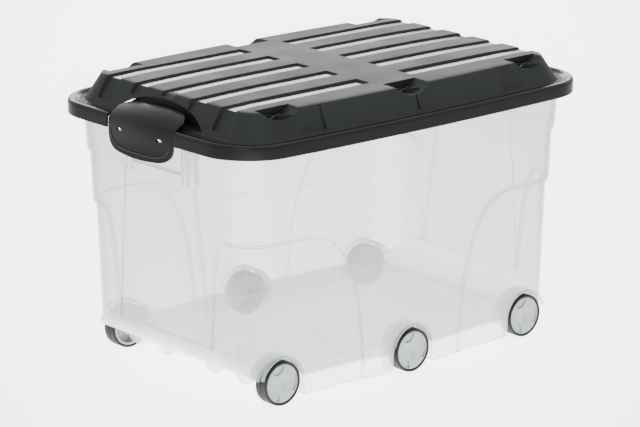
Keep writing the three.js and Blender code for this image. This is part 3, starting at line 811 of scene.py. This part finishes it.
tub = skin(
    "tub_shell",
    [
        ring(wall_at(SKIRT_LOW), SKIRT_LOW),
        ring(WALL_HIGH, BAND_Z - 0.9),
        ring(BAND_LOW, BAND_Z + 0.5, -0.5),
        ring(BAND_LOW, BAND_Z + 1.2),
        ring(BAND_HIGH, BAND_TOP),
        ring(FLANGE, BAND_TOP, -LIP),
        ring(FLANGE, LIP_LOW, -LIP),
        ring(FLANGE, LIP_LOW),
        ring(FLANGE, FLANGE_TOP - 1),
        ring(FLANGE, FLANGE_TOP - 0.3, -0.3),
        ring(FLANGE, FLANGE_TOP, -1),
    ],
)
inside = skin(
    "tub_inside",
    [
        ring(wall_at(-5), -5, -TUB_WALL),
        ring(WALL_HIGH, BAND_Z + 2, -TUB_WALL),
        ring(BAND_LOW, BAND_Z + 4, -TUB_WALL),
        ring(BAND_HIGH, FLANGE_TOP + 5, -TUB_WALL),
    ],
)

# %% Arched set-backs
def corner_zone(sx, sy, grow):
    top = 208 + grow
    low_x, high_x = 83 - grow, 172 - grow
    long_side = [(low_x, -20), (low_x + 1, 45)]
    long_side += bend((low_x + 1, 45), (low_x + 8, 135), (high_x - 60, top), (high_x, top), 24)
    long_side += [(FAR, top), (FAR, -20)]
    low_y, high_y = 91 - grow, 111 - grow
    end_side = [(low_y, -20), (low_y + 3, 90)]
    end_side += bend((low_y + 3, 90), (low_y + 9, top - 70), (high_y - 10, top), (high_y + 12, top), 20)
    end_side += [(FAR, top), (FAR, -20)]
    from_long = prism("corner_long", [(sx * u, v) for u, v in long_side], "y", *sorted((sy * 1, sy * FAR)))
    from_end = prism("corner_end", [(sy * u, v) for u, v in end_side], "x", *sorted((sx * 1, sx * FAR)))
    return common(from_long, from_end)


def end_panel_zone(sx, grow):
    half = [(74 + grow, 323 + grow), (74 + grow, 272), (67 + grow, 266), (89 + grow, 70), (89 + grow, -20)]
    outline = half + [(-y, z) for y, z in reversed(half)]
    return prism("end_panel", outline, "x", *sorted((sx * 200, sx * FAR)))


def set_back(body, inset):
    for sx in SIDES:
        for sy in SIDES:
            step = cut(corner_zone(sx, sy, inset), wall_body(-CORNER_RECESS - inset))
            cut(body, step)
        cut(body, cut(end_panel_zone(sx, inset), wall_body(-PANEL_RECESS - inset)))
    return body


set_back(tub, 0)
set_back(inside, TUB_WALL)
print("tub shell faces:", len(tub.data.polygons))

# %% [markdown]
# ## Floor, end edges and wheel housings
# The floor sits 31 mm up and meets each end in a wide curve. Each wheel turns in an arched housing that
# reaches in from the side wall. The housings and the floor are material that the hollow must leave
# standing, and the space for each wheel is then cut through from outside.

# %% Floor curve and housings
WHEEL_R, WHEEL_WIDTH, CORNER_Y, MIDDLE_Y = 28.25, 20, 162.3, 171.6
WELL_CLEAR, WELL_WALL, WELL_BEHIND = 4.75, 2, 3
PLACES = [
    (sx * WHEEL_X, sy, MIDDLE_Y if sx == 0 else CORNER_Y, f"{row}_{name}")
    for sy, row in ((-1, "front"), (1, "rear"))
    for sx, name in ((-1, "left"), (0, "middle"), (1, "right"))
]


def well(place, grow):
    x, sy, outer_y, _ = place
    r = WHEEL_R + WELL_CLEAR + grow
    outline = [(x - r, -30), (x + r, -30)] + arc(x, WHEEL_R, r, 0, math.pi, 48)
    inner_y = outer_y - WHEEL_WIDTH - WELL_BEHIND - grow
    return prism("well", outline, "y", *sorted((sy * inner_y, sy * 240)))


def end_curve(sx, outside):
    end_x, r, z = 224.5, 36, FLOOR_Z
    turns = [i / 16 * math.pi / 2 for i in range(17)]
    if outside:
        path = [(end_x - 4, -30), (end_x - 4, z)]
        path += [(end_x + r * math.sin(a), z + r - r * math.cos(a)) for a in turns]
        path += [(end_x + 60, z + r), (end_x + 60, -30)]
    else:
        inner = r - TUB_WALL
        path = [(end_x - 4, z - 4), (end_x + 60, z - 4), (end_x + 60, z + r)]
        path += [(end_x + inner * math.cos(a), z + r - inner * math.sin(a)) for a in turns]
        path += [(end_x - 4, z + FLOOR_THICK)]
    return prism("end_curve", [(sx * x, height) for x, height in path], "y", -240, 240)


cut(inside, block("floor", -FAR, FAR, -FAR, FAR, FLOOR_Z, FLOOR_Z + FLOOR_THICK))
cut(inside, *[end_curve(sx, False) for sx in SIDES])
cut(inside, *[well(place, WELL_WALL) for place in PLACES])
cut(tub, inside)
cut(tub, *[end_curve(sx, True) for sx in SIDES])
cut(tub, *[well(place, 0) for place in PLACES])
cut(tub, block("under_housings", -FAR, FAR, -154, 154, -30, 21))
print("tub after hollowing:", len(tub.data.polygons))

# %% [markdown]
# ## Small features of the tub
# Half-round feet hang below both ends of the floor, upright ribs stand under the rim either side of each
# clip, a blind collar holds each axle, and a low lip runs round every wheel arch. They are added one by
# one.

# %% Feet, ribs and collars
for sx in SIDES:
    for row in (-108, -47, 47, 108):
        lift = math.asin(6.5 / 21)
        foot = arc(row, 38.5, 21, math.pi + lift, 2 * math.pi - lift, 28)
        join(tub, prism("foot", foot, "x", sx * 224 - 1.5, sx * 224 + 1.5))
    panel_x = wall_at(300)["x"] - PANEL_RECESS
    reach = sorted((sx * (panel_x - 1), sx * (panel_x + 5)))
    for y in (-61, -50, 50, 61):
        join(tub, block("end_rib", *reach, y - 1.2, y + 1.2, 270, FLANGE_TOP - 1))
    join(tub, block("cross_rib", *reach, -50, 50, 280.5, 282.5))
for x, sy, outer_y, _ in PLACES:
    behind = outer_y - WHEEL_WIDTH - WELL_BEHIND
    collar = sorted((sy * (behind + 2), sy * (behind - 8)))
    join(tub, prism("collar", disc(x, WHEEL_R, 5.4, 32), "y", *collar))
    bore = sorted((sy * (behind + 4), sy * (behind - WELL_WALL - 4 - GAP)))
    cut(tub, prism("axle_bore", disc(x, WHEEL_R, 3.3, 32), "y", *bore))

# %% Lips round the wheel arches
def arch_lip(place):
    x, sy, outer_y, _ = place
    wall_y = wall_at(45)["y"] + LONG_BOW * (1 - (x / 263) ** 2) - (CORNER_RECESS if x else 0)
    r = WHEEL_R + WELL_CLEAR
    outline = arc(x, WHEEL_R, r + 2.2, 0.3, math.pi - 0.3, 48)
    outline += list(reversed(arc(x, WHEEL_R, r + 0.02, 0.3, math.pi - 0.3, 48)))
    return prism("arch_lip", outline, "y", *sorted((sy * (wall_y - 3), sy * (wall_y + 1.3))))


for place in PLACES:
    join(tub, arch_lip(place))
settle(tub, "tub", "tub", "tub_clear", frosted_tub, edge=24)

# %% [markdown]
# ## Wheels
# Each wheel is two mouldings: a black soft tyre pressed on a light grey hub with three lens-shaped windows.
# Both are turned shapes, so a profile of radius and depth is spun round the axle. The hub's windows are
# then cut.

# %% Tyre and hub finishes
soft_tyre = moulded_plastic("elastomer_soft_black", "#0B0B0C", "#111112", 0.58, 0.06, 0.5, 0.4, 0.3)
pale_hub = moulded_plastic("polypropylene_natural_grey", "#8E9596", "#999FA0", 0.34, 0.05, 0.1, 0.4)
axle_finish = moulded_plastic("acetal_grey", "#8D9394", "#979D9E", 0.38, 0.04, 0.1, 0.2)

# %% Turned pieces
def turned(name, place, profile, closed, sides=96):
    """A (radius, depth) profile spun round one axle; depth runs inwards from the wheel's outer face."""
    x, sy, outer_y, _ = place
    loops = []
    for i in range(sides):
        a = 2 * math.pi * i / sides
        loops.append(
            [(x + r * math.cos(a), sy * (outer_y - depth), WHEEL_R + r * math.sin(a)) for r, depth in profile]
        )
    return skin(name, loops, closed=closed)


TYRE_IN = WHEEL_R - 3.4
TYRE_PROFILE = [
    (TYRE_IN, 0.6), (WHEEL_R - 1.6, 0), (WHEEL_R - 0.7, 0.25), (WHEEL_R - 0.15, 0.8), (WHEEL_R, 1.6),
    (WHEEL_R, 9.2), (WHEEL_R - 0.5, 9.5), (WHEEL_R - 0.5, 10.5), (WHEEL_R, 10.8), (WHEEL_R, 18.4),
    (WHEEL_R - 0.15, 19.2), (WHEEL_R - 0.7, 19.75), (WHEEL_R - 1.6, 20), (TYRE_IN, 19.4),
]
HUB_OUT = TYRE_IN - 0.3
HUB_PROFILE = [
    (3.3, 20), (3.3, 6), (0.02, 6), (0.02, 1.0), (1.6, 1.7), (2.6, 1.6), (4, 0.95), (HUB_OUT - 0.5, 0.95),
    (HUB_OUT, 1.4), (HUB_OUT, 19), (HUB_OUT - 2.2, 19), (HUB_OUT - 2.2, 5), (6.4, 5), (6.4, 20),
]


def hub_window(place, k):
    x, sy, outer_y, _ = place
    a = math.pi / 2 + 0.35 + k * 2 * math.pi / 3
    depths = sorted((sy * (outer_y + 1), sy * (outer_y - 2.6)))
    lens_cut = prism("window", disc(x + 24 * math.cos(a), WHEEL_R + 24 * math.sin(a), 10.5, 48), "y", *depths)
    return common(lens_cut, prism("window_limit", disc(x, WHEEL_R, HUB_OUT - 1.6, 96), "y", *depths))


# %% Make the six wheels
for place in PLACES:
    name = place[3]
    tyre = turned(f"tyre_ring_{name}", place, TYRE_PROFILE, True)
    settle(tyre, f"tyre_{name}", f"wheel_{name}", "tyre_black", soft_tyre)
    hub = turned(f"hub_disc_{name}", place, HUB_PROFILE, True)
    cut(hub, *[hub_window(place, k) for k in range(3)])
    settle(hub, f"hub_{name}", f"wheel_{name}", "hub_grey", pale_hub)

# %% [markdown]
# ## Pins and axles
# The measured pins and axles already have the right shape, so they stay as they are and only get a finish.
# Their material slots are emptied first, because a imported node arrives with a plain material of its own.

# %% Finish the pins and axles
def refinish(node_name, finish):
    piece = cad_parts[node_name]
    piece.data.materials.clear()
    piece.data.materials.append(finish)
    for face in piece.data.polygons:
        face.use_smooth = True
    piece.data.set_sharp_from_angle(angle=math.radians(32))


for name in WHEELS:
    refinish(f"axle_{name}", axle_finish)
for end in ("left", "right"):
    refinish(f"clip_pin_{end}", smooth_clip)

# %% [markdown]
# ## Studio
# A catalogue picture of dark and see-through plastic needs large soft lights: a bright surround, one big
# soft box overhead, one in front on the left, and one low behind the box. The low one is what draws the
# bright lines along the polished groove floors, because at this flat angle they mirror whatever stands
# behind them. The box stands on a white table that is lit from below in one long oval under and behind it.
# Upright black faces mirror the table well to either side, where it is only lit from above, so the rim and
# clips stay black.

# %% Floor and surround
bpy.context.scene.world = bpy.data.worlds.new("studio_surround")
bpy.context.scene.world.use_nodes = True
surround = bpy.context.scene.world.node_tree.nodes["Background"]
surround.inputs["Color"].default_value = linear("#FFFFFF")
surround.inputs["Strength"].default_value = 0.9

GLOW, GLOW_LENGTH, GLOW_WIDTH = 4.2, 3.4, 0.95
GLOW_CENTRE, GLOW_TURN = (0.99, 1.13, 0.0), math.radians(48.9)

floor = block("studio_floor", -9000, 9000, -9000, 9000, -40, -0.4)
paper, paper_tree = new_finish("paper_matt_white")
paper_grain = node(paper_tree, "ShaderNodeTexNoise", {"Scale": 1 / (4 * MM), "Detail": 2.0}).outputs["Fac"]
paper_tint = node(
    paper_tree,
    "ShaderNodeMix",
    {6: linear("#FAFAF9"), 7: linear("#FDFDFD")},
    {"Factor": paper_grain},
    data_type="RGBA",
).outputs[2]
spot = node(paper_tree, "ShaderNodeTexCoord").outputs["Object"]
oval = node(
    paper_tree,
    "ShaderNodeMapping",
    {"Location": GLOW_CENTRE, "Rotation": (0, 0, GLOW_TURN), "Scale": (GLOW_LENGTH, GLOW_WIDTH, 1)},
    {"Vector": spot},
    vector_type="TEXTURE",
).outputs["Vector"]
reach = node(paper_tree, "ShaderNodeVectorMath", {}, {0: oval}, operation="LENGTH").outputs["Value"]
glow = node(
    paper_tree,
    "ShaderNodeMapRange",
    {"From Min": 0.5, "From Max": 1.2, "To Min": GLOW, "To Max": 0.0},
    {"Value": reach},
    interpolation_type="SMOOTHSTEP",
).outputs["Result"]
sheet = node(
    paper_tree,
    "ShaderNodeBsdfPrincipled",
    {"Roughness": 0.9, "Specular IOR Level": 0.2, "Emission Color": linear("#FFFFFF")},
    {"Base Color": paper_tint, "Emission Strength": glow},
)
node(paper_tree, "ShaderNodeOutputMaterial", links={"Surface": sheet.outputs["BSDF"]})
floor.data.materials.append(paper)


# %% Soft boxes
def soft_box(name, place, width, height, watts):
    data = bpy.data.lights.new(name, "AREA")
    data.shape = "RECTANGLE"
    data.size, data.size_y = width, height
    data.energy = watts
    lamp = bpy.data.objects.new(name, data)
    lamp.location = Vector(place)
    lamp.rotation_mode = "QUATERNION"
    lamp.rotation_quaternion = (Vector((0, 0, 0.2)) - lamp.location).to_track_quat("-Z", "Y")
    bpy.context.scene.collection.objects.link(lamp)


soft_box("overhead", (0.2, -0.2, 2.4), 1.8, 1.8, 10)
soft_box("front_left", (-2.2, -1.4, 1.5), 1.2, 1.2, 10)
soft_box("low_behind", (1.55, 2.1, 1.12), 2.4, 0.4, 20)
